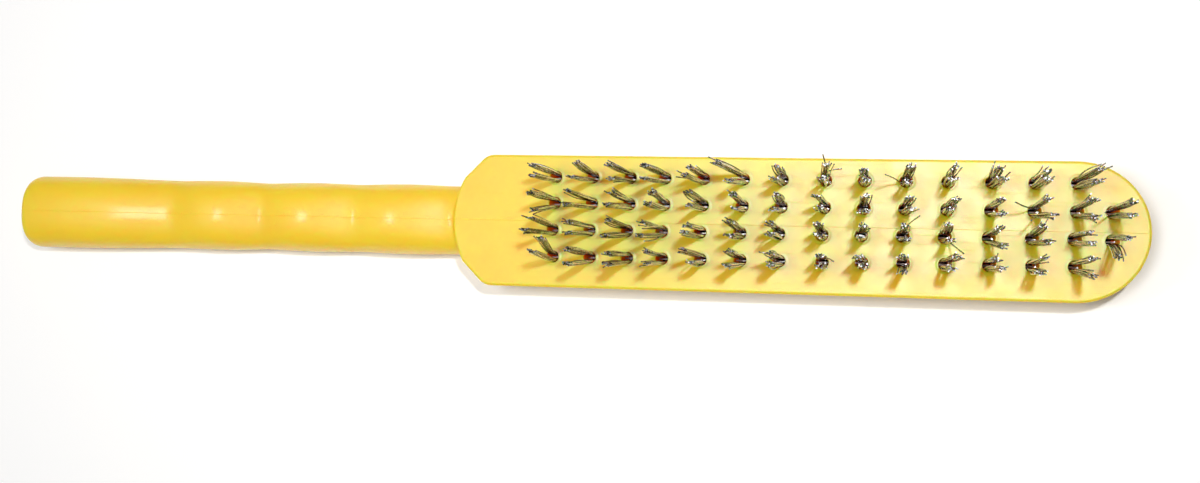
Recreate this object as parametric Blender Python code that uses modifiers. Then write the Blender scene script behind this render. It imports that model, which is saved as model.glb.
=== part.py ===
"""Wire scratch brush.

One moulded handle and block, with a flat back and a field of blind holes in its
face, and one folded tuft of steel wire in each hole.

Frame: metres, +Z up, +X from the handle to the tip of the block, origin at the
bottom centre. The brush lies on its back and the wire stands up.
"""

import math

import bmesh
import bpy
from mathutils import Matrix, Vector

MM = 0.001

# Block
LENGTH = 292 * MM
BLOCK_WIDTH = 32.8 * MM
BLOCK_THICKNESS = 15 * MM
BLOCK_RIM = 1.4 * MM
TIP_X = LENGTH / 2
TIP_RADIUS = 16 * MM
HALF_WIDTH = BLOCK_WIDTH / 2
SHOULDER_CORNER_X = -9 * MM
SHOULDER_ANGLE = math.radians(45)
SHOULDER_ROUNDING = 4.5 * MM
NECK_EDGE_X = -17.6 * MM
NECK_EDGE_RADIUS = 21.7 * MM

# Handle
HANDLE_END_X = -LENGTH / 2
HANDLE_WIDTH = 18.3 * MM
HANDLE_END_WIDTH = 20.2 * MM
WAIST_X = -72 * MM
HANDLE_HEIGHT = 13.2 * MM
WIDEST_HEIGHT = 0.45 * HANDLE_HEIGHT
END_CORNER_ROUNDING = 4 * MM
END_RIM_ROUNDING = 1.6 * MM
HANDLE_ROOT_X = -3.4 * MM
SECTION_POINTS = 16
SECTION_POWER_TOP = 2.5
SECTION_POWER_BACK = 4.0
END_STATION_ANGLES = (0, 20, 40, 60, 75)
STATION_STEP = 3.2 * MM

# Finger grips: valleys along the handle, a pitch apart, and one long bulge behind them
GRIP_PITCH = 26.3 * MM
END_BULGE_PITCH = 54 * MM
GRIP_DEPTH = 1.8 * MM
GRIP_SIDE_DEPTH = 0.3 * MM
GRIP_SOFTNESS = 0.2
FIRST_VALLEY_X = -99.3 * MM

# Tufts: four rows, and two more tufts at the tip
ROWS = 4
COLUMNS = 14
ROW_PITCH = 6.42 * MM
COLUMN_PITCH = 9.36 * MM
FIELD_CENTRE_X = 69.2 * MM
FIELD_CENTRE_Y = 1.3 * MM
TIP_TUFTS_X = 137.7 * MM
TIP_TUFTS_ROWS = (2, 3)

# The drilling isn't perfectly even: a shift for each column, and a shift and a slope for each row
COLUMN_SHIFTS_MM = (0.4, 0.4, 0.4, -0.4, -0.4, -0.2, -0.4, 0.3, 0, 0, 0, 0.3, 0.3, 0)
ROW_SHIFTS_MM = (0.2, 0.1, -0.3, -0.1)
ROW_SLOPES = (0, 0, 0.003, 0.007)

# One hole, and the tuft in it: heights are measured from the block's face
HOLE_RADIUS = 1.5 * MM
HOLE_DEPTH = 9 * MM
HOLE_SIDES = 12
FIT_GAP = 0.3 * MM
WIRE_TRIM = 23 * MM
TUFT_SIDES = 10
TUFT_TIP_RADIUS = 1.9 * MM
FOLD_HEIGHT = 1.0 * MM
FOLD_NARROWING = 0.6
SLOT_FLOOR = -7.6 * MM
SLOT_WIDTH_AT_FLOOR = 0.7 * MM
SLOT_WIDTH_AT_TIP = 1.5 * MM

# Fineness of the outline's arcs, in steps, and where shading breaks
TIP_STEPS = 10
SHOULDER_STEPS = 3
NECK_STEPS = 4
MERGE_DISTANCE = 0.01 * MM
RIM_BEVEL_ANGLE = math.radians(60)
BODY_SHARP_ANGLE = math.radians(35)
TUFT_SHARP_ANGLE = math.radians(40)


def clear_scene():
    for scene_object in list(bpy.data.objects):
        bpy.data.objects.remove(scene_object, do_unlink=True)


def new_collection(name):
    collection = bpy.data.collections.new(name)
    bpy.context.scene.collection.children.link(collection)
    return collection


def new_material(name, color, roughness, metallic):
    material = bpy.data.materials.new(name)
    material.use_nodes = True
    shader = material.node_tree.nodes["Principled BSDF"]
    shader.inputs["Base Color"].default_value = (*color, 1)
    shader.inputs["Roughness"].default_value = roughness
    shader.inputs["Metallic"].default_value = metallic
    material.diffuse_color = (*color, 1)
    return material


def add_object(name, data, collection):
    scene_object = bpy.data.objects.new(name, data)
    collection.objects.link(scene_object)
    return scene_object


def hide_guide(guide):
    guide.hide_render = True
    guide.display_type = "WIRE"


def mesh_from_bmesh(name, bm):
    mesh = bpy.data.meshes.new(name)
    bm.to_mesh(mesh)
    bm.free()
    return mesh


def evaluated_mesh(scene_object, name):
    """The object's mesh with its modifiers, or its curve's surface, as a new mesh."""
    graph = bpy.context.evaluated_depsgraph_get()
    mesh = bpy.data.meshes.new_from_object(scene_object.evaluated_get(graph))
    mesh.name = name
    bm = bmesh.new()
    bm.from_mesh(mesh)
    bmesh.ops.remove_doubles(bm, verts=bm.verts, dist=MERGE_DISTANCE)
    bm.to_mesh(mesh)
    bm.free()
    return mesh


def add_boolean(scene_object, operation, other):
    modifier = scene_object.modifiers.new(operation.title(), "BOOLEAN")
    modifier.operation = operation
    modifier.object = other
    modifier.solver = "EXACT"


def arc(centre_x, centre_y, radius, start, end, steps):
    """Points on an arc, its two ends included; angles in radians."""
    points = []
    for step in range(steps + 1):
        angle = start + (end - start) * step / steps
        points.append((centre_x + radius * math.cos(angle), centre_y + radius * math.sin(angle)))
    return points


def neck_corner_y():
    """Where the curved neck edge meets the straight shoulder: found by halving."""
    low, high = 0.0, HALF_WIDTH
    for _ in range(40):
        y = (low + high) / 2
        shoulder_x = SHOULDER_CORNER_X - (HALF_WIDTH - y) / math.tan(SHOULDER_ANGLE)
        edge_x = NECK_EDGE_X + NECK_EDGE_RADIUS - math.sqrt(NECK_EDGE_RADIUS**2 - y**2)
        if shoulder_x < edge_x:
            low = y
        else:
            high = y
    return low


def block_outline():
    """The block seen from above: round tip, slightly tapered sides, shoulders, curved neck."""
    rounding_centre_x = SHOULDER_CORNER_X + SHOULDER_ROUNDING * math.tan(SHOULDER_ANGLE / 2)
    neck_angle = math.asin(neck_corner_y() / NECK_EDGE_RADIUS)
    neck_centre_x = NECK_EDGE_X + NECK_EDGE_RADIUS
    upper = arc(TIP_X - TIP_RADIUS, 0, TIP_RADIUS, 0, math.pi / 2, TIP_STEPS)
    upper += arc(
        rounding_centre_x,
        HALF_WIDTH - SHOULDER_ROUNDING,
        SHOULDER_ROUNDING,
        math.pi / 2,
        math.pi / 2 + SHOULDER_ANGLE,
        SHOULDER_STEPS,
    )
    upper += arc(neck_centre_x, 0, NECK_EDGE_RADIUS, math.pi - neck_angle, math.pi, NECK_STEPS)
    lower = [(x, -y) for x, y in reversed(upper[1:-1])]
    return upper + lower


def make_block(cutters):
    """The block without its handle, as an extruded outline with rounded rims."""
    curve = bpy.data.curves.new("block_outline", "CURVE")
    curve.dimensions = "2D"
    curve.fill_mode = "BOTH"
    curve.extrude = BLOCK_THICKNESS / 2
    outline = block_outline()
    spline = curve.splines.new("POLY")
    spline.points.add(len(outline) - 1)
    for point, (x, y) in zip(spline.points, outline):
        point.co = (x, y, 0, 1)
    spline.use_cyclic_u = True
    outline_object = add_object("block_outline", curve, cutters)
    bpy.context.view_layer.update()
    mesh = evaluated_mesh(outline_object, "block")
    bpy.data.objects.remove(outline_object)
    mesh.transform(Matrix.Translation((0, 0, BLOCK_THICKNESS / 2)))
    block = add_object("block_guide", mesh, cutters)
    bevel = block.modifiers.new("Rims", "BEVEL")
    bevel.limit_method = "ANGLE"
    bevel.angle_limit = RIM_BEVEL_ANGLE
    bevel.width = BLOCK_RIM
    bevel.segments = 3
    return block


def grip_wave(x):
    """0 in a finger valley and 1 on top of a bulge."""
    pitch = GRIP_PITCH if x > FIRST_VALLEY_X else END_BULGE_PITCH
    phase = math.pi * (x - FIRST_VALLEY_X) / pitch
    softened = math.sqrt(math.sin(phase) ** 2 + GRIP_SOFTNESS**2) - GRIP_SOFTNESS
    return softened / (math.sqrt(1 + GRIP_SOFTNESS**2) - GRIP_SOFTNESS)


def end_inset(x, rounding):
    """How far an edge of the handle's end, rounded by this much, draws in the section at x."""
    reach = min(x - HANDLE_END_X, rounding)
    return rounding - math.sqrt(rounding**2 - (rounding - reach) ** 2)


def plain_half_width(x):
    """Half the handle's width without grips or rounding: it widens from the waist to the end."""
    widening = max(0, (WAIST_X - x) / (WAIST_X - HANDLE_END_X))
    return (HANDLE_WIDTH + (HANDLE_END_WIDTH - HANDLE_WIDTH) * widening) / 2


def signed_power(value, power):
    return math.copysign(abs(value) ** power, value)


def handle_section(x):
    """One closed section across the handle: rounded above, flatter at the back."""
    wave = grip_wave(x)
    rim = end_inset(x, END_RIM_ROUNDING)
    half_width = plain_half_width(x) - GRIP_SIDE_DEPTH * (1 - wave) - end_inset(x, END_CORNER_ROUNDING)
    top = HANDLE_HEIGHT - GRIP_DEPTH * (1 - wave) - rim
    points = []
    for index in range(SECTION_POINTS):
        angle = 2 * math.pi * index / SECTION_POINTS
        power = SECTION_POWER_TOP if math.sin(angle) > 0 else SECTION_POWER_BACK
        reach = top - WIDEST_HEIGHT if math.sin(angle) > 0 else WIDEST_HEIGHT - rim
        y = half_width * signed_power(math.cos(angle), 2 / power)
        z = WIDEST_HEIGHT + reach * signed_power(math.sin(angle), 2 / power)
        points.append(Vector((x, y, z)))
    return points


def handle_stations():
    """Places along the handle: close together round its end, then evenly spaced."""
    rounded = []
    for angle in END_STATION_ANGLES:
        rounded.append(HANDLE_END_X + END_CORNER_ROUNDING * (1 - math.cos(math.radians(angle))))
    start = HANDLE_END_X + END_CORNER_ROUNDING
    count = round((HANDLE_ROOT_X - start) / STATION_STEP)
    even = [start + (HANDLE_ROOT_X - start) * index / count for index in range(count + 1)]
    return rounded + even


def make_handle(cutters):
    """The handle as a loft through its sections, ending inside the block."""
    bm = bmesh.new()
    rings = [[bm.verts.new(point) for point in handle_section(x)] for x in handle_stations()]
    for near, far in zip(rings, rings[1:]):
        for index in range(SECTION_POINTS):
            following = (index + 1) % SECTION_POINTS
            bm.faces.new((near[index], near[following], far[following], far[index]))
    bm.faces.new(reversed(rings[0]))
    bm.faces.new(rings[-1])
    bmesh.ops.recalc_face_normals(bm, faces=bm.faces)
    return add_object("handle_guide", mesh_from_bmesh("handle", bm), cutters)


def tuft_places():
    """Name, x and y of every tuft, row 1 at +Y and column 1 next to the handle."""
    places = []
    for row in range(1, ROWS + 1):
        y = FIELD_CENTRE_Y + ROW_PITCH * ((ROWS + 1) / 2 - row)
        for column in range(1, COLUMNS + 1):
            reach = COLUMN_PITCH * (column - (COLUMNS + 1) / 2)
            shift = (COLUMN_SHIFTS_MM[column - 1] + ROW_SHIFTS_MM[row - 1]) * MM
            drift = ROW_SLOPES[row - 1] * reach
            places.append((f"tuft_row{row}_{column:02d}", FIELD_CENTRE_X + reach + shift, y + drift))
        if row in TIP_TUFTS_ROWS:
            places.append((f"tuft_row{row}_{COLUMNS + 1:02d}", TIP_TUFTS_X, y))
    return places


def make_hole_cutters(cutters):
    """One cylinder for each blind hole, standing proud of the face by the fit gap."""
    bm = bmesh.new()
    depth = HOLE_DEPTH + FIT_GAP
    for _, x, y in tuft_places():
        centre = Vector((x, y, BLOCK_THICKNESS - HOLE_DEPTH + depth / 2))
        bmesh.ops.create_cone(
            bm,
            cap_ends=True,
            segments=HOLE_SIDES,
            radius1=HOLE_RADIUS,
            radius2=HOLE_RADIUS,
            depth=depth,
            matrix=Matrix.Translation(centre),
        )
    return add_object("tuft_holes", mesh_from_bmesh("tuft_holes", bm), cutters)


def make_body(parts, cutters, material):
    """Handle and block in one piece, with its tuft holes."""
    block = make_block(cutters)
    handle = make_handle(cutters)
    holes = make_hole_cutters(cutters)
    add_boolean(block, "UNION", handle)
    add_boolean(block, "DIFFERENCE", holes)
    for guide in (block, handle, holes):
        hide_guide(guide)
    bpy.context.view_layer.update()
    mesh = evaluated_mesh(block, "handle_and_block")
    mesh.materials.clear()
    mesh.materials.append(material)
    mesh.shade_smooth()
    mesh.set_sharp_from_angle(angle=BODY_SHARP_ANGLE)
    return add_object("handle_and_block", mesh, parts)


def tuft_profile():
    """The bundle's outer side, tip to fold; z is 0 at the block's face."""
    stem = HOLE_RADIUS - FIT_GAP
    bottom = FIT_GAP - HOLE_DEPTH
    return [
        (0, WIRE_TRIM),
        (TUFT_TIP_RADIUS, WIRE_TRIM),
        (stem, FIT_GAP),
        (stem, bottom + FOLD_HEIGHT),
        (stem * FOLD_NARROWING, bottom),
        (0, bottom),
    ]


def make_bundle(cutters):
    """The whole bundle of wires, as a turned shape."""
    bm = bmesh.new()
    verts = [bm.verts.new((radius, 0, z)) for radius, z in tuft_profile()]
    for upper, lower in zip(verts, verts[1:]):
        bm.edges.new((upper, lower))
    bundle = add_object("tuft_bundle", mesh_from_bmesh("tuft_bundle", bm), cutters)
    screw = bundle.modifiers.new("Turn", "SCREW")
    screw.angle = math.tau
    screw.steps = TUFT_SIDES
    screw.render_steps = TUFT_SIDES
    screw.use_merge_vertices = True
    screw.merge_threshold = MERGE_DISTANCE
    return bundle


def make_slot_cutter(cutters):
    """The wedge of air between a tuft's two legs, from the fold to past the tips."""
    top = WIRE_TRIM + FIT_GAP
    bm = bmesh.new()
    bmesh.ops.create_cube(bm, size=1)
    for vert in bm.verts:
        width = SLOT_WIDTH_AT_TIP if vert.co.z > 0 else SLOT_WIDTH_AT_FLOOR
        vert.co.x *= 3 * TUFT_TIP_RADIUS
        vert.co.y *= width
        vert.co.z = top if vert.co.z > 0 else SLOT_FLOOR
    return add_object("tuft_slot", mesh_from_bmesh("tuft_slot", bm), cutters)


def make_tufts(parts, cutters, material):
    """A folded tuft in every hole; its two legs stand to either side, in Y."""
    bundle = make_bundle(cutters)
    slot = make_slot_cutter(cutters)
    add_boolean(bundle, "DIFFERENCE", slot)
    for guide in (bundle, slot):
        hide_guide(guide)
    bpy.context.view_layer.update()
    mesh = evaluated_mesh(bundle, "tuft")
    mesh.materials.clear()
    mesh.materials.append(material)
    mesh.shade_smooth()
    mesh.set_sharp_from_angle(angle=TUFT_SHARP_ANGLE)
    for name, x, y in tuft_places():
        tuft = add_object(name, mesh, parts)
        tuft.location = (x, y, BLOCK_THICKNESS)


def main():
    clear_scene()
    parts = new_collection("wire_scratch_brush")
    cutters = new_collection("cutters")
    yellow_plastic = new_material("yellow_plastic", (0.86, 0.58, 0.05), 0.25, 0)
    steel_wire = new_material("steel_wire", (0.36, 0.34, 0.3), 0.35, 1)
    make_body(parts, cutters, yellow_plastic)
    make_tufts(parts, cutters, steel_wire)


main()
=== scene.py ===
"""Looks of the wire scratch brush: a fine moulding, 58 tufts of real wires and their anchors.

The moulding is a Boolean of a rounded block, a lofted handle, a parting ridge, raised
lips and drilled holes. Every tuft is a bundle of separate steel wires, each folded round
the anchor plate at the bottom of its hole.
"""

import math
import random

import bmesh
import bpy
from mathutils import Matrix, Vector


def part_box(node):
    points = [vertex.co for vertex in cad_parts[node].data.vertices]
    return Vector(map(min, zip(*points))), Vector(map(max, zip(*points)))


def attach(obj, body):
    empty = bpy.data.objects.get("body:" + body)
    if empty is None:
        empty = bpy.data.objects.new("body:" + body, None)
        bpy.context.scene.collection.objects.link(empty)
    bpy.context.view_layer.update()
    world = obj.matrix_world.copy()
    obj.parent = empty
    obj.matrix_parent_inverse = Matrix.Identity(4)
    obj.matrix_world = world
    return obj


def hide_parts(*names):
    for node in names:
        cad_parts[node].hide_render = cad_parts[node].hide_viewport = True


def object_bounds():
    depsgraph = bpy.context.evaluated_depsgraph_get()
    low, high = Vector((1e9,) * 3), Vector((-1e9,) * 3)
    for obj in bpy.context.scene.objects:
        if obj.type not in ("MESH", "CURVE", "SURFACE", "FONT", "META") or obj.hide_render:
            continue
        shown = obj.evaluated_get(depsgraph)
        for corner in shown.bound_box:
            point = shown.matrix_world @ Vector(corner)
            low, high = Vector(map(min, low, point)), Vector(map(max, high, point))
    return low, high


MM = 0.001
SEED = 11

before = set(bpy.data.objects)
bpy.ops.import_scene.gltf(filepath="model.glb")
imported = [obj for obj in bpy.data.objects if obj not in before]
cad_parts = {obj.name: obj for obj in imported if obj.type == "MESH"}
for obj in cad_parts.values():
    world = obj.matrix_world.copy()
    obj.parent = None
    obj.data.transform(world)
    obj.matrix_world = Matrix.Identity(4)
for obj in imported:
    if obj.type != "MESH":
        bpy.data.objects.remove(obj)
CAD_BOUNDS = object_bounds()

# The CAD body's box sets the sizes below
BODY_LOW, BODY_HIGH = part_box("handle_and_block")
TIP_X = BODY_HIGH.x
HANDLE_END_X = BODY_LOW.x
HALF_WIDTH = BODY_HIGH.y
THICKNESS = BODY_HIGH.z
WIRE_TOP_Z = CAD_BOUNDS[1].z

# Block outline
TIP_RADIUS = 16 * MM
SHOULDER_CORNER_X = -9 * MM
SHOULDER_ANGLE = math.radians(45)
SHOULDER_ROUNDING = 4.5 * MM
NECK_EDGE_X = -17.6 * MM
NECK_EDGE_RADIUS = 21.7 * MM
FACE_RIM = 0.7 * MM
BACK_RIM = 2.2 * MM
TIP_STEPS = 36
SHOULDER_STEPS = 12
NECK_STEPS = 16
BACK_RIM_STEPS = 7
FACE_RIM_STEPS = 6
HALVINGS = 40

# Handle
HANDLE_WIDTH = 18.3 * MM
HANDLE_END_WIDTH = 20.2 * MM
WAIST_X = -72 * MM
HANDLE_HEIGHT = 13.2 * MM
WIDEST_HEIGHT = 0.45 * HANDLE_HEIGHT
END_CORNER_ROUNDING = 4 * MM
END_RIM_ROUNDING = 1.6 * MM
HANDLE_ROOT_X = -3.4 * MM
NECK_FILLET = 1.6 * MM
FLARE_END_X = NECK_EDGE_X + 3 * MM
END_TURN_STEP = 6
HANDLE_STEP = 1 * MM
FLARE_STEP = 0.2 * MM
SECTION_POINTS = 64
SECTION_POWER_TOP = 2.5
SECTION_POWER_BACK = 4.0
GRIP_PITCH = 26.3 * MM
END_BULGE_PITCH = 54 * MM
GRIP_DEPTH = 1.8 * MM
GRIP_SIDE_DEPTH = 0.3 * MM
GRIP_SOFTNESS = 0.2
FIRST_VALLEY_X = -99.3 * MM

# Holes and the surface round them
HOLE_RADIUS = 1.5 * MM
HOLE_DEPTH = 9 * MM
HOLE_ROUNDING = 0.12 * MM
DRILL_POINT = 0.8 * MM
DRILL_ABOVE = 1 * MM
MOUTH_STEPS = 4
LIP_RADIUS = 2.3 * MM
LIP_HEIGHT = 0.1 * MM
LIP_VARIATION = 0.4
LIP_FLAT_RADIUS = HOLE_RADIUS + 0.2 * MM
LIP_EDGE_HEIGHT = 0.004 * MM
LIP_FOOT = -0.3 * MM
LIP_STEPS = 4
TURN_STEPS = 40
RIDGE_RADIUS = 0.06 * MM
RIDGE_LOWEST_Z = 1 * MM
MOULDING_SHARP_ANGLE = math.radians(32)

# Wires and anchors
WIRE_RADIUS = 0.16 * MM
TUBE_SIDES = 8
WIRES_PER_TUFT = 15
WIRE_PITCH = 0.32 * MM
WIRE_ROW_PITCH = 0.9 * WIRE_PITCH
WALL_CLEARANCE = 0.03 * MM
LEG_GAP = 1.1 * MM
LEG_MIDDLE = 0.9 * MM
LEG_STEPS = 7
FOLD_STEPS = 4
WIRE_SHARP_ANGLE = math.radians(62)
ANCHOR_THICKNESS = 0.4 * MM
ANCHOR_BITE = 0.3 * MM
ANCHOR_EDGE = 0.08 * MM
ANCHOR_TOP = -5.2 * MM
ANCHOR_BOTTOM = -7.6 * MM
FOLD_FLATTENING = 0.6
TUFT_ROWS = 4
TUFT_COLUMNS = 14

# How use has bent the legs: each ends this far from the middle of its hole, and differs from
# the others by about this much along and across the brush
LEG_SPREAD = 1.4 * MM
BEND_ALONG = 0.6 * MM
BEND_ACROSS = 0.35 * MM

# How the wires of a leg differ: most keep close to the leg's own end and the rest are loose, each
# bows a little and is trimmed a little short, and the legs nearest the tip are fanned out
USUAL_JOSTLE = 0.22 * MM
LOOSE_JOSTLE = 0.7 * MM
USUAL_SHARE = 0.9
JOSTLE_ACROSS = 0.8
TRIM_UNEVENNESS = 0.6 * MM
BOW_ALONG = 0.25 * MM
BOW_ACROSS = 0.2 * MM
LEAN_POWER = 1.15
FANNED_FROM_COLUMN = 12
FAN = 1.35

# The few tufts that are bent hard: (row, column) to where the upper (+Y) leg and the lower leg
# end, in mm from the middle of the hole; these are measured ends, rounded to whole mm
HARD_BENDS = {
    (1, 6): ((-4, 2), (-1, -2)),
    (2, 1): ((0, 1), (1, -3)),
    (3, 15): ((-1, 0), (-3, -4)),
    (4, 1): ((3, 4), (1, 1)),
}

# The few wires that stand right out of their tuft: their ends as (x, y, height) in mm; the height
# is guessed, and x and y are measured for that height and rounded to whole mm
STRAY_ENDS = {
    (1, 8): ((0, 4, 21), (4, 1, 20)),
    (1, 10): ((-5, 0, 18),),
    (2, 13): ((-6, 1, 16), (-3, -3, 18)),
    (2, 15): ((-5, -1, 18),),
    (3, 10): ((3, 4, 16),),
    (3, 11): ((3, -4, 16),),
}

# Plastic and steel
PLASTIC_DEEP = (0.97, 0.6, 0.002)
PLASTIC_PALE = (0.99, 0.645, 0.004)
PLASTIC_IOR = 1.65
PLASTIC_SPECULAR = 1.0
PLASTIC_ROUGHNESS = (0.48, 0.56)
SUBSURFACE_WEIGHT = 0.9
SUBSURFACE_REACH = 10 * MM
SUBSURFACE_BY_COLOR = (1.0, 0.22, 0.01)
POLISH = 0.28
POLISH_ROUGHNESS = 0.16
SCRATCH_TURNS = (math.radians(8), math.radians(97))
SCRATCH_STRETCH = (60, 2200, 60)
STEEL_PATCHINESS = 0.45

# Camera, its turn in degrees and its lens and sensor in mm
CAMERA_PLACE = Vector((83.7 * MM, -11.3 * MM, THICKNESS + 281.8 * MM))
CAMERA_TURN = (1.68, 12.59, 1.75)
CAMERA_LENS = 35.4
CAMERA_SENSOR = 36
CAMERA_CLIP_START = 5 * MM

# Lamps, in metres and watts, and the floor
KEY_PLACE = Vector((122 * MM, 48 * MM, THICKNESS + 338 * MM))
KEY_POWER = 2.5
KEY_COLOR = (1, 0.985, 0.96)
GLARE_PLACE = Vector((114 * MM, 41 * MM, THICKNESS + 338 * MM))
GLARE_POWER = 2.2
GLARE_COLOR = (1, 1, 1)
BULB_RADIUS = 8 * MM
FILL_PLACE = Vector((-0.06, 0.01, 0.615))
FILL_TARGET = Vector((-0.02, 0, 0))
FILL_SIZE = (0.2, 0.12)
FILL_POWER = 1.95
LEFT_LAMP_PLACE = Vector((-0.37, 0.02, 0.62))
LEFT_LAMP_TARGET = Vector((-0.06, 0, 0))
LEFT_LAMP_SIZE = (0.1, 0.08)
LEFT_LAMP_POWER = 0.8
WORLD_COLOR = (1, 0.97, 0.93, 1)
WORLD_STRENGTH = 0.1
FLOOR_HALF_SIZE = 2.5
FLOOR_Z = -0.05 * MM


# ---------------------------------------------------------------- small helpers


def add_object(name, data):
    scene_object = bpy.data.objects.new(name, data)
    bpy.context.scene.collection.objects.link(scene_object)
    return scene_object


def object_from_bmesh(name, bm):
    mesh = bpy.data.meshes.new(name)
    bm.to_mesh(mesh)
    bm.free()
    return add_object(name, mesh)


def bake_modifiers(scene_object):
    """Puts the evaluated mesh in place of the object's mesh, and drops its modifiers."""
    bpy.context.view_layer.update()
    graph = bpy.context.evaluated_depsgraph_get()
    mesh = bpy.data.meshes.new_from_object(scene_object.evaluated_get(graph))
    scene_object.modifiers.clear()
    scene_object.data = mesh


def boolean(body, operation, tool):
    """Applies one Boolean to the body and removes the tool."""
    modifier = body.modifiers.new(operation.title(), "BOOLEAN")
    modifier.operation = operation
    modifier.object = tool
    modifier.solver = "MANIFOLD"
    bake_modifiers(body)
    bpy.data.objects.remove(tool)


def loft(name, rings):
    """A closed body through rings with the same number of points."""
    bm = bmesh.new()
    verts = [[bm.verts.new(point) for point in ring] for ring in rings]
    for near, far in zip(verts, verts[1:]):
        for index in range(len(near)):
            following = (index + 1) % len(near)
            bm.faces.new((near[index], near[following], far[following], far[index]))
    bm.faces.new(reversed(verts[0]))
    bm.faces.new(verts[-1])
    bmesh.ops.recalc_face_normals(bm, faces=bm.faces)
    return object_from_bmesh(name, bm)


def turned_rings(bm, centre, profile):
    """Adds a closed turned body to bm: the profile is (radius, height), axis to axis."""
    rings = []
    for radius, height in profile:
        if radius == 0:
            rings.append([bm.verts.new(centre + Vector((0, 0, height)))])
            continue
        ring = []
        for step in range(TURN_STEPS):
            angle = math.tau * step / TURN_STEPS
            spoke = Vector((radius * math.cos(angle), radius * math.sin(angle), height))
            ring.append(bm.verts.new(centre + spoke))
        rings.append(ring)
    for upper, lower in zip(rings, rings[1:]):
        for step in range(TURN_STEPS):
            following = (step + 1) % TURN_STEPS
            corners = [upper[step % len(upper)], lower[step % len(lower)]]
            corners += [lower[following % len(lower)], upper[following % len(upper)]]
            bm.faces.new(list(dict.fromkeys(corners)))


# ---------------------------------------------------------------- moulding


def arc(centre_x, centre_y, radius, start, end, steps):
    points = []
    for step in range(steps + 1):
        angle = start + (end - start) * step / steps
        points.append((centre_x + radius * math.cos(angle), centre_y + radius * math.sin(angle)))
    return points


def neck_edge_x(y, inset=0.0):
    """The curved neck edge of the block."""
    radius = NECK_EDGE_RADIUS - inset
    return NECK_EDGE_X + NECK_EDGE_RADIUS - math.sqrt(radius**2 - y**2)


def neck_corner_y(inset):
    """Where the neck edge meets the straight shoulder: found by halving."""
    half_width = HALF_WIDTH - inset
    corner_x = SHOULDER_CORNER_X + inset * math.tan(SHOULDER_ANGLE / 2)
    low, high = 0.0, half_width
    for _ in range(HALVINGS):
        y = (low + high) / 2
        if corner_x - (half_width - y) / math.tan(SHOULDER_ANGLE) < neck_edge_x(y, inset):
            low = y
        else:
            high = y
    return low


def block_outline(inset):
    """The block seen from above, drawn in by inset all round."""
    half_width = HALF_WIDTH - inset
    corner_x = SHOULDER_CORNER_X + inset * math.tan(SHOULDER_ANGLE / 2)
    rounding = SHOULDER_ROUNDING - inset
    neck_radius = NECK_EDGE_RADIUS - inset
    neck_angle = math.asin(neck_corner_y(inset) / neck_radius)
    upper = arc(TIP_X - TIP_RADIUS, 0, TIP_RADIUS - inset, 0, math.pi / 2, TIP_STEPS)
    upper += arc(
        corner_x + rounding * math.tan(SHOULDER_ANGLE / 2),
        half_width - rounding,
        rounding,
        math.pi / 2,
        math.pi / 2 + SHOULDER_ANGLE,
        SHOULDER_STEPS,
    )
    neck_centre_x = NECK_EDGE_X + NECK_EDGE_RADIUS
    upper += arc(neck_centre_x, 0, neck_radius, math.pi - neck_angle, math.pi, NECK_STEPS)
    lower = [(x, -y) for x, y in reversed(upper[1:-1])]
    return upper + lower


def make_block():
    """The block as a stack of outlines: back rim, side, face rim."""
    layers = []
    for step in range(BACK_RIM_STEPS + 1):
        angle = math.pi / 2 * step / BACK_RIM_STEPS
        layers.append((BACK_RIM * (1 - math.sin(angle)), BACK_RIM * (1 - math.cos(angle))))
    for step in range(FACE_RIM_STEPS + 1):
        angle = math.pi / 2 * step / FACE_RIM_STEPS
        height = THICKNESS - FACE_RIM * (1 - math.sin(angle))
        layers.append((FACE_RIM * (1 - math.cos(angle)), height))
    rings = [[Vector((x, y, height)) for x, y in block_outline(inset)] for inset, height in layers]
    return loft("moulding", rings)


def grip_wave(x):
    """0 in a finger valley and 1 on top of a bulge."""
    pitch = GRIP_PITCH if x > FIRST_VALLEY_X else END_BULGE_PITCH
    phase = math.pi * (x - FIRST_VALLEY_X) / pitch
    softened = math.sqrt(math.sin(phase) ** 2 + GRIP_SOFTNESS**2) - GRIP_SOFTNESS
    return softened / (math.sqrt(1 + GRIP_SOFTNESS**2) - GRIP_SOFTNESS)


def end_inset(x, rounding):
    """How far an edge of the handle's end, rounded by this much, draws in the section at x."""
    reach = min(x - HANDLE_END_X, rounding)
    return rounding - math.sqrt(rounding**2 - (rounding - reach) ** 2)


def plain_half_width(x):
    """Half the handle's width without grips or rounding: it widens from the waist to the end."""
    widening = max(0, (WAIST_X - x) / (WAIST_X - HANDLE_END_X))
    return (HANDLE_WIDTH + (HANDLE_END_WIDTH - HANDLE_WIDTH) * widening) / 2


def neck_flare(x, y):
    """How far the fillet at the neck lifts the handle's surface at x, y."""
    distance = min(max(neck_edge_x(min(abs(y), HANDLE_WIDTH / 2)) - x, 0), NECK_FILLET)
    return NECK_FILLET - math.sqrt(NECK_FILLET**2 - (NECK_FILLET - distance) ** 2)


def signed_power(value, power):
    return math.copysign(abs(value) ** power, value)


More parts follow.
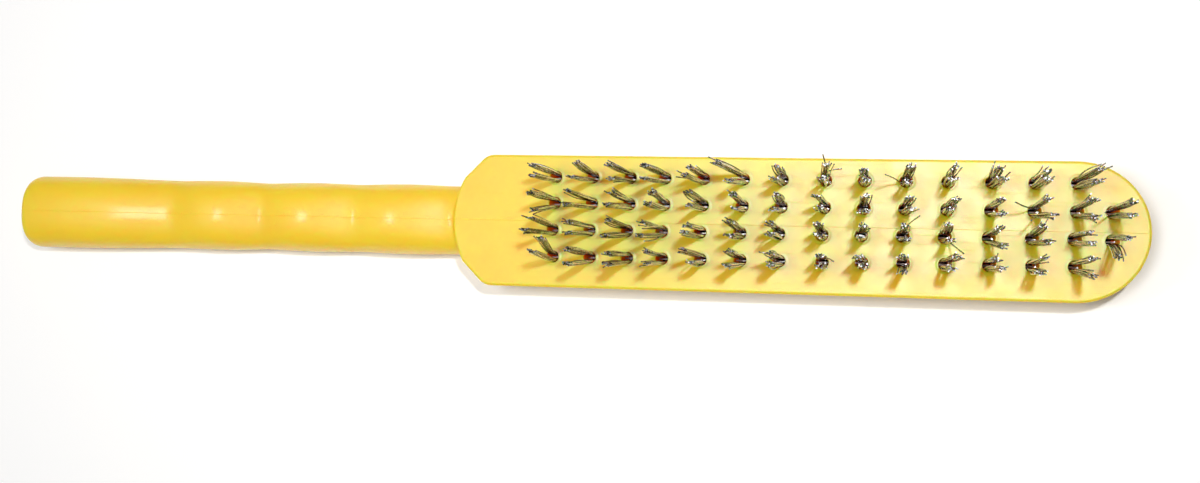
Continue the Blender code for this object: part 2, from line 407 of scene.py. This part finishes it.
def handle_section(x):
    wave = grip_wave(x)
    rim = end_inset(x, END_RIM_ROUNDING)
    half_width = plain_half_width(x) - GRIP_SIDE_DEPTH * (1 - wave)
    half_width -= end_inset(x, END_CORNER_ROUNDING)
    top = HANDLE_HEIGHT - GRIP_DEPTH * (1 - wave) - rim
    points = []
    for index in range(SECTION_POINTS):
        angle = math.tau * index / SECTION_POINTS
        over = math.sin(angle) > 0
        power = SECTION_POWER_TOP if over else SECTION_POWER_BACK
        reach = top - WIDEST_HEIGHT if over else WIDEST_HEIGHT - rim
        y = half_width * signed_power(math.cos(angle), 2 / power)
        z = WIDEST_HEIGHT + reach * signed_power(math.sin(angle), 2 / power)
        flare = neck_flare(x, y)
        y += flare * math.cos(angle)
        z += flare * max(math.sin(angle), 0)
        points.append(Vector((x, y, z)))
    return points


def stations(start, end, step):
    """Evenly spaced places about one step apart, without the end."""
    count = max(1, round((end - start) / step))
    return [start + (end - start) * index / count for index in range(count)]


def make_handle():
    rounded = HANDLE_END_X + END_CORNER_ROUNDING
    flare_start = NECK_EDGE_X - NECK_FILLET
    places = []
    for degrees in range(0, 90, END_TURN_STEP):
        places.append(HANDLE_END_X + END_CORNER_ROUNDING * (1 - math.cos(math.radians(degrees))))
    places += stations(rounded, flare_start, HANDLE_STEP)
    places += stations(flare_start, FLARE_END_X, FLARE_STEP)
    places += [FLARE_END_X, HANDLE_ROOT_X]
    return loft("handle", [handle_section(x) for x in places])


def make_ridge(body):
    """The thin ridge that the mould's parting plane leaves, from a cut through the body at y = 0."""
    bm = bmesh.new()
    bm.from_mesh(body.data)
    cut = bmesh.ops.bisect_plane(
        bm, geom=bm.verts[:] + bm.edges[:] + bm.faces[:], plane_co=(0, 0, 0), plane_no=(0, 1, 0)
    )
    edges = {item for item in cut["geom_cut"] if isinstance(item, bmesh.types.BMEdge)}
    edges = {edge for edge in edges if min(vert.co.z for vert in edge.verts) > RIDGE_LOWEST_Z}
    links = {}
    for edge in edges:
        for vert in edge.verts:
            links.setdefault(vert, []).append(edge)
    vert = next(vert for vert, used in links.items() if len(used) == 1 and vert.co.x > 0)
    path = [vert.co.copy()]
    edge = links[vert][0]
    while edge:
        vert = edge.other_vert(vert)
        path.append(vert.co.copy())
        edge = next((other for other in links[vert] if other is not edge), None)
    bm.free()
    return tube_object("parting_ridge", path, RIDGE_RADIUS)


def tube_object(name, path, radius):
    bm = bmesh.new()
    add_tube(bm, path, radius)
    return object_from_bmesh(name, bm)


def hole_places():
    """(row, column, CAD node, place of the hole's mouth) for every tuft."""
    places = []
    for row in range(1, TUFT_ROWS + 1):
        for column in range(1, TUFT_COLUMNS + 2):
            node = f"tuft_row{row}_{column:02d}"
            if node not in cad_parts:
                continue
            low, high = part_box(node)
            centre = (low + high) / 2
            places.append((row, column, node, Vector((centre.x, centre.y, THICKNESS))))
    return places


def make_lips(rng):
    """Low domes round the holes, where driving the anchors has swollen the plastic."""
    bm = bmesh.new()
    for _, _, _, mouth in hole_places():
        height = LIP_HEIGHT * rng.uniform(1 - LIP_VARIATION, 1 + LIP_VARIATION)
        profile = [(0, height), (LIP_FLAT_RADIUS, height)]
        for step in range(1, LIP_STEPS + 1):
            part = step / LIP_STEPS
            radius = LIP_FLAT_RADIUS + (LIP_RADIUS - LIP_FLAT_RADIUS) * part
            fall = (math.cos(math.pi * part) + 1) / 2
            profile.append((radius, height * fall + LIP_EDGE_HEIGHT))
        profile += [(LIP_RADIUS, LIP_FOOT), (0, LIP_FOOT)]
        turned_rings(bm, mouth, profile)
    bmesh.ops.recalc_face_normals(bm, faces=bm.faces)
    return object_from_bmesh("lips", bm)


def make_drills():
    """One cutter for each hole: a rounded mouth, a straight wall and a drilled point."""
    mouth_radius = HOLE_RADIUS + HOLE_ROUNDING
    mouth_height = LIP_HEIGHT * 0.7
    profile = [(0, DRILL_ABOVE), (mouth_radius, DRILL_ABOVE)]
    for step in range(MOUTH_STEPS + 1):
        angle = math.pi / 2 + math.pi / 2 * step / MOUTH_STEPS
        radius = mouth_radius + HOLE_ROUNDING * math.cos(angle)
        profile.append((radius, mouth_height - HOLE_ROUNDING * (1 - math.sin(angle))))
    profile += [(HOLE_RADIUS, DRILL_POINT - HOLE_DEPTH), (0, -HOLE_DEPTH)]
    bm = bmesh.new()
    for _, _, _, mouth in hole_places():
        turned_rings(bm, mouth, profile)
    bmesh.ops.recalc_face_normals(bm, faces=bm.faces)
    return object_from_bmesh("drills", bm)


def flatten_planes(mesh):
    """Shades the flat face and the flat back flat, so that the rims don't bend their light."""
    tolerance = 0.01 * MM
    for face in mesh.polygons:
        level = face.center.z
        on_plane = abs(level - THICKNESS) < tolerance or abs(level) < tolerance
        if on_plane and abs(face.normal.z) > 0.9999:
            face.use_smooth = False


def make_moulding(material):
    rng = random.Random(SEED)
    body = make_block()
    boolean(body, "UNION", make_handle())
    boolean(body, "UNION", make_ridge(body))
    boolean(body, "UNION", make_lips(rng))
    boolean(body, "DIFFERENCE", make_drills())
    body.data.materials.clear()
    body.data.materials.append(material)
    body.data.shade_smooth()
    body.data.set_sharp_from_angle(angle=MOULDING_SHARP_ANGLE)
    flatten_planes(body.data)
    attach(body, "root")
    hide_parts("handle_and_block")


# ---------------------------------------------------------------- wires


def add_tube(bm, path, radius, end_material=0):
    """A closed tube along the path, its section carried along without twist."""
    tangents = []
    for index in range(len(path)):
        before = path[max(index - 1, 0)]
        after = path[min(index + 1, len(path) - 1)]
        tangents.append((after - before).normalized())
    across = tangents[0].orthogonal().normalized()
    rings = []
    for index, (point, tangent) in enumerate(zip(path, tangents)):
        if index:
            across = tangents[index - 1].rotation_difference(tangent) @ across
        across = (across - tangent * across.dot(tangent)).normalized()
        side = tangent.cross(across)
        ring = []
        for step in range(TUBE_SIDES):
            angle = math.tau * step / TUBE_SIDES
            spoke = math.cos(angle) * across + math.sin(angle) * side
            ring.append(bm.verts.new(point + radius * spoke))
        rings.append(ring)
    for near, far in zip(rings, rings[1:]):
        for step in range(TUBE_SIDES):
            following = (step + 1) % TUBE_SIDES
            face = bm.faces.new((near[step], near[following], far[following], far[step]))
            face.smooth = True
    for cap in (bm.faces.new(reversed(rings[0])), bm.faces.new(rings[-1])):
        cap.material_index = end_material


def leg_spots(rng):
    """Where the wires of one leg sit in the hole: a grid in the part of the circle beyond the gap."""
    reach = HOLE_RADIUS - WIRE_RADIUS - WALL_CLEARANCE
    spots = []
    y = LEG_GAP / 2 + WIRE_RADIUS
    while y < reach:
        half = math.sqrt(reach**2 - y**2)
        count = int(2 * half / WIRE_PITCH) + 1
        for index in range(count):
            x = (index - (count - 1) / 2) * min(WIRE_PITCH, 2 * half / max(count - 1, 1))
            spots.append((x, y))
        y += WIRE_ROW_PITCH
    while len(spots) > WIRES_PER_TUFT:
        spots.pop(rng.randrange(len(spots)))
    return spots


def leg_path(mouth, spot, end, rng):
    """From a wire's end down to the top of its fold."""
    height = end.z
    bow = Vector((rng.gauss(0, BOW_ALONG), rng.gauss(0, BOW_ACROSS), 0))
    points = []
    for step in range(LEG_STEPS + 1):
        part = 1 - step / LEG_STEPS
        lean = part**LEAN_POWER
        x = spot.x + (end.x - spot.x) * lean
        y = spot.y + (end.y - spot.y) * lean
        offset = bow * math.sin(math.pi * part)
        points.append(mouth + Vector((x, y, height * part)) + offset)
    points.append(mouth + Vector((spot.x, spot.y, ANCHOR_TOP)))
    return points


def fold_path(mouth, spot):
    """The turn of a wire under the anchor, from its upper leg to its lower leg."""
    points = []
    for step in range(FOLD_STEPS + 1):
        angle = math.pi * step / FOLD_STEPS
        y = spot.y * math.cos(angle)
        z = ANCHOR_BOTTOM - FOLD_FLATTENING * spot.y * math.sin(angle)
        points.append(mouth + Vector((spot.x, y, z)))
    return points


def leg_ends(row, column, rng):
    """Where the upper and the lower leg of a tuft end, in metres from the middle of its hole."""
    if (row, column) in HARD_BENDS:
        return [Vector(end) * MM for end in HARD_BENDS[row, column]]
    ends = []
    for side in (1, -1):
        x = rng.gauss(0, 1) * BEND_ALONG
        y = side * LEG_SPREAD + rng.gauss(0, 1) * BEND_ACROSS
        ends.append(Vector((x, y)))
    return ends


def wire_end(spot, centre, fan, rng):
    """Where a wire ends: its place in the leg, fanned and jostled about the leg's own end."""
    jostle = USUAL_JOSTLE if rng.random() < USUAL_SHARE else LOOSE_JOSTLE
    outward = math.copysign(1, spot.y) * (abs(spot.y) - LEG_MIDDLE)
    x = centre.x + spot.x + rng.gauss(0, 1) * jostle
    y = centre.y + outward * fan + rng.gauss(0, JOSTLE_ACROSS) * jostle
    return Vector((x, y, WIRE_TOP_Z - THICKNESS - abs(rng.gauss(0, TRIM_UNEVENNESS))))


def make_tuft(row, column, node, mouth, materials):
    rng = random.Random(SEED * 1000 + row * 100 + column)
    upper_leg, lower_leg = leg_ends(row, column, rng)
    strays = [Vector(stray) * MM for stray in STRAY_ENDS.get((row, column), ())]
    bm = bmesh.new()
    fan = FAN if column >= FANNED_FROM_COLUMN else 1
    spots = leg_spots(rng)
    rng.shuffle(spots)
    for x, y in spots:
        upper = Vector((x, y, 0))
        lower = Vector((x, -y, 0))
        upper_end = wire_end(upper, upper_leg, fan, rng)
        lower_end = wire_end(lower, lower_leg, fan, rng)
        if strays:
            stray = strays.pop()
            if stray.y > 0:
                upper_end = stray
            else:
                lower_end = stray
        path = leg_path(mouth, upper, upper_end, rng)
        path += fold_path(mouth, upper)
        path += reversed(leg_path(mouth, lower, lower_end, rng))
        add_tube(bm, path, WIRE_RADIUS, end_material=1)
    bmesh.ops.recalc_face_normals(bm, faces=bm.faces)
    tuft = object_from_bmesh(f"wires_row{row}_{column:02d}", bm)
    for material in materials:
        tuft.data.materials.append(material)
    tuft.data.set_sharp_from_angle(angle=WIRE_SHARP_ANGLE)
    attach(tuft, "root")
    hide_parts(node)


def make_anchor(row, column, mouth, material):
    """The flat plate driven across the hole, its ends biting into the plastic."""
    bm = bmesh.new()
    bmesh.ops.create_cube(bm, size=1)
    height = ANCHOR_TOP - ANCHOR_BOTTOM - WIRE_RADIUS
    size = Vector((2 * HOLE_RADIUS + ANCHOR_BITE, ANCHOR_THICKNESS, height))
    for vert in bm.verts:
        vert.co = Vector(a * b for a, b in zip(vert.co, size))
    bmesh.ops.bevel(bm, geom=bm.edges[:], offset=ANCHOR_EDGE, segments=2, affect="EDGES")
    anchor = object_from_bmesh(f"anchor_row{row}_{column:02d}", bm)
    anchor.data.transform(Matrix.Translation(mouth + Vector((0, 0, ANCHOR_TOP - size.z / 2))))
    anchor.data.materials.append(material)
    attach(anchor, "root")


# ---------------------------------------------------------------- materials


class Nodes:
    """A short way to add and link shader nodes."""

    def __init__(self, name):
        self.material = bpy.data.materials.new(name)
        self.material.use_nodes = True
        self.tree = self.material.node_tree
        self.shader = self.tree.nodes["Principled BSDF"]

    def add(self, kind, **values):
        node = self.tree.nodes.new(kind)
        for key, value in values.items():
            if key in node.inputs:
                node.inputs[key].default_value = value
            else:
                setattr(node, key, value)
        return node

    def link(self, out_socket, in_socket):
        self.tree.links.new(out_socket, in_socket)


def noise(nodes, place, scale, detail=3.0):
    texture = nodes.add("ShaderNodeTexNoise", Scale=scale, Detail=detail)
    nodes.link(place, texture.inputs["Vector"])
    return texture.outputs["Fac"]


def ramp(nodes, value, low, high, out_low, out_high):
    mapping = nodes.add("ShaderNodeMapRange")
    mapping.inputs["From Min"].default_value = low
    mapping.inputs["From Max"].default_value = high
    mapping.inputs["To Min"].default_value = out_low
    mapping.inputs["To Max"].default_value = out_high
    nodes.link(value, mapping.inputs["Value"])
    return mapping.outputs["Result"]


def mix_color(nodes, factor, first, second):
    mix = nodes.add("ShaderNodeMix", data_type="RGBA")
    nodes.link(factor, mix.inputs["Factor"])
    mix.inputs[6].default_value = (*first, 1)
    mix.inputs[7].default_value = (*second, 1)
    return mix.outputs[2]


def plastic_material():
    """Yellow moulded plastic that lets light in a little way; only the handle has a clear gloss."""
    nodes = Nodes("yellow_plastic")
    place = nodes.add("ShaderNodeTexCoord").outputs["Object"]
    shader = nodes.shader
    cloud = ramp(nodes, noise(nodes, place, scale=60), 0.35, 0.65, 0, 1)
    color = mix_color(nodes, cloud, PLASTIC_DEEP, PLASTIC_PALE)
    nodes.link(color, shader.inputs["Base Color"])
    shader.inputs["Subsurface Weight"].default_value = SUBSURFACE_WEIGHT
    shader.inputs["Subsurface Radius"].default_value = SUBSURFACE_BY_COLOR
    shader.inputs["Subsurface Scale"].default_value = SUBSURFACE_REACH
    shader.inputs["IOR"].default_value = PLASTIC_IOR
    shader.inputs["Specular IOR Level"].default_value = PLASTIC_SPECULAR
    smudge = noise(nodes, place, scale=220, detail=4)
    nodes.link(ramp(nodes, smudge, 0.3, 0.7, *PLASTIC_ROUGHNESS), shader.inputs["Roughness"])
    along = nodes.add("ShaderNodeSeparateXYZ")
    nodes.link(place, along.inputs["Vector"])
    polish = ramp(nodes, along.outputs["X"], NECK_EDGE_X - 1 * MM, NECK_EDGE_X, POLISH, 0)
    nodes.link(polish, shader.inputs["Coat Weight"])
    shader.inputs["Coat Roughness"].default_value = POLISH_ROUGHNESS
    nodes.link(surface_relief(nodes, place), shader.inputs["Normal"])
    return nodes.material


def surface_relief(nodes, place):
    """The normal of a moulded face: slightly wavy, with fine scratches along and across it."""
    wave = nodes.add("ShaderNodeBump", Strength=0.25, Distance=0.12 * MM)
    nodes.link(noise(nodes, place, scale=90, detail=1), wave.inputs["Height"])
    normal = wave.outputs["Normal"]
    for turn in SCRATCH_TURNS:
        stretched = nodes.add("ShaderNodeMapping")
        stretched.inputs["Rotation"].default_value = (0, 0, turn)
        stretched.inputs["Scale"].default_value = SCRATCH_STRETCH
        nodes.link(place, stretched.inputs["Vector"])
        streaks = noise(nodes, stretched.outputs["Vector"], scale=1, detail=2)
        lines = ramp(nodes, streaks, 0.66, 0.74, 0, 1)
        scratch = nodes.add("ShaderNodeBump", Strength=0.5, Distance=0.03 * MM)
        nodes.link(lines, scratch.inputs["Height"])
        nodes.link(normal, scratch.inputs["Normal"])
        normal = scratch.outputs["Normal"]
    return normal


def wire_to_wire(nodes):
    """A value from 0 to 1 that differs from one wire to the next."""
    return nodes.add("ShaderNodeNewGeometry").outputs["Random Per Island"]


def steel_material(name, shares, darkest, lightest, roughness):
    """Bare, patchy steel that goes from darkest to lightest between two shares of the wires."""
    nodes = Nodes(name)
    place = nodes.add("ShaderNodeTexCoord").outputs["Object"]
    grain = noise(nodes, place, scale=1200)
    patch = ramp(nodes, grain, 0.35, 0.65, -STEEL_PATCHINESS, STEEL_PATCHINESS)
    blend = nodes.add("ShaderNodeMath", operation="ADD")
    nodes.link(ramp(nodes, wire_to_wire(nodes), *shares, 0, 1), blend.inputs[0])
    nodes.link(patch, blend.inputs[1])
    color = mix_color(nodes, blend.outputs[0], darkest, lightest)
    nodes.link(color, nodes.shader.inputs["Base Color"])
    nodes.shader.inputs["Metallic"].default_value = 1.0
    nodes.shader.inputs["Roughness"].default_value = roughness
    return nodes.material


def wire_material():
    """Drawn steel wire, from nearly black to bright, and slightly warm."""
    darkest, lightest = (0.025, 0.022, 0.02), (0.93, 0.92, 0.9)
    return steel_material("steel_wire", (0, 1), darkest, lightest, roughness=0.25)


def cut_end_material():
    """The cut ends of the wires: most are nearly black, the rest grey."""
    darkest, lightest = (0.02, 0.02, 0.02), (0.32, 0.32, 0.32)
    return steel_material("cut_steel", (0.6, 1), darkest, lightest, roughness=0.45)


def anchor_material():
    """Rolled strip, more even than the wires."""
    darkest, lightest = (0.4, 0.4, 0.4), (0.65, 0.65, 0.65)
    return steel_material("anchor_strip", (0, 1), darkest, lightest, roughness=0.4)


def floor_material():
    nodes = Nodes("white_floor")
    nodes.shader.inputs["Base Color"].default_value = (1, 1, 1, 1)
    nodes.shader.inputs["Roughness"].default_value = 1.0
    return nodes.material


# ---------------------------------------------------------------- stage


def make_floor():
    bm = bmesh.new()
    bmesh.ops.create_grid(bm, x_segments=1, y_segments=1, size=FLOOR_HALF_SIZE)
    floor = object_from_bmesh("floor", bm)
    floor.location.z = FLOOR_Z
    floor.data.materials.append(floor_material())


def make_camera():
    camera = bpy.data.cameras.new("camera")
    camera.lens = CAMERA_LENS
    camera.sensor_width = CAMERA_SENSOR
    camera.clip_start = CAMERA_CLIP_START
    holder = add_object("camera", camera)
    holder.location = CAMERA_PLACE
    holder.rotation_euler = [math.radians(angle) for angle in CAMERA_TURN]
    bpy.context.scene.camera = holder


def add_area_light(name, place, target, size, power):
    light = bpy.data.lights.new(name, "AREA")
    light.shape = "RECTANGLE"
    light.size, light.size_y = size
    light.energy = power
    holder = add_object(name, light)
    holder.location = place
    holder.rotation_euler = (target - place).to_track_quat("-Z", "Y").to_euler()
    return holder


def add_bulb(name, place, power, color):
    light = bpy.data.lights.new(name, "POINT")
    light.energy = power
    light.color = color
    light.shadow_soft_size = BULB_RADIUS
    holder = add_object(name, light)
    holder.location = place
    return holder


def make_lights():
    """A bare key lamp, one beside it that adds only shine, a fill that adds none, and a left lamp."""
    add_bulb("key", KEY_PLACE, KEY_POWER, KEY_COLOR)
    glare = add_bulb("glare", GLARE_PLACE, GLARE_POWER, GLARE_COLOR)
    glare.visible_diffuse = False
    fill = add_area_light("fill", FILL_PLACE, FILL_TARGET, FILL_SIZE, FILL_POWER)
    fill.visible_glossy = False
    add_area_light("left_lamp", LEFT_LAMP_PLACE, LEFT_LAMP_TARGET, LEFT_LAMP_SIZE, LEFT_LAMP_POWER)
    world = bpy.data.worlds.new("studio")
    world.use_nodes = True
    background = world.node_tree.nodes["Background"]
    background.inputs["Color"].default_value = WORLD_COLOR
    background.inputs["Strength"].default_value = WORLD_STRENGTH
    bpy.context.scene.world = world
    bpy.context.scene.view_settings.view_transform = "Standard"


def main():
    make_camera()
    make_lights()
    make_floor()
    make_moulding(plastic_material())
    wire_materials = (wire_material(), cut_end_material())
    strip = anchor_material()
    for row, column, node, mouth in hole_places():
        make_tuft(row, column, node, mouth, wire_materials)
        make_anchor(row, column, mouth, strip)


main()
